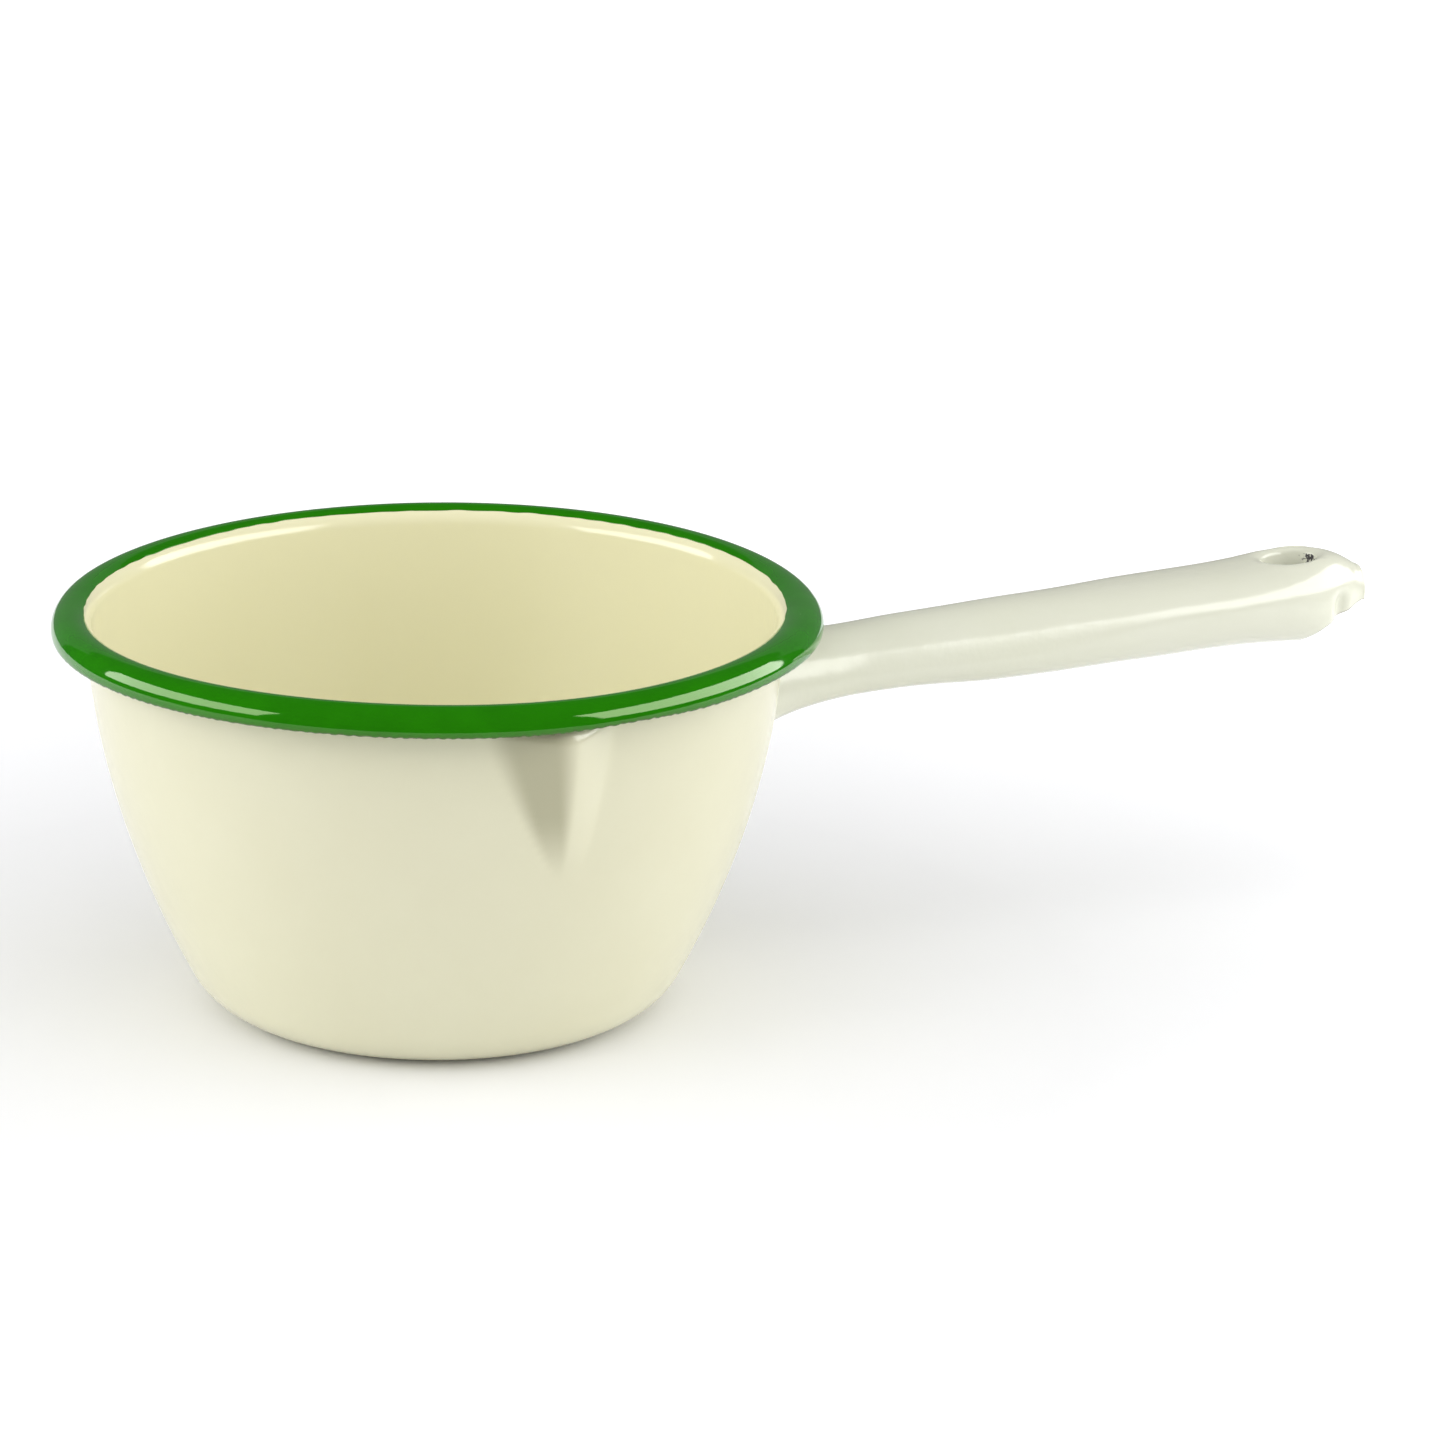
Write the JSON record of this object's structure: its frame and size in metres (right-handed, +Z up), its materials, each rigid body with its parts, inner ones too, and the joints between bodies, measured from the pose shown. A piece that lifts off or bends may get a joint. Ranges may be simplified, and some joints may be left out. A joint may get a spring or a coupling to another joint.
{
  "type": "enamelled pouring pan",
  "caption": "Small enamelled steel pan for melting wax or soap base, with a pressed pouring lip, a rolled rim and a long hollow handle with a hanging hole.",
  "frame": {"origin": "centre of the base's flat resting face, on the bowl's axis", "axes": "+Z up out of the bowl, +X from the bowl along the handle to its tip, the pouring lip points towards -Y"},
  "size_m": [0.2811, 0.1487, 0.0819],
  "materials": {
    "cream_enamel": "glossy vitreous enamel on sheet steel, cream",
    "green_enamel": "glossy vitreous enamel on sheet steel, deep green",
    "handle_enamel": "glossy vitreous enamel on sheet steel, pale greyish cream"
  },
  "bodies": {
    "root": {"bowl": "cream_enamel", "rolled_rim": "green_enamel", "handle": "handle_enamel", "handle_weld": "cream_enamel"}
  },
  "joints": []
}
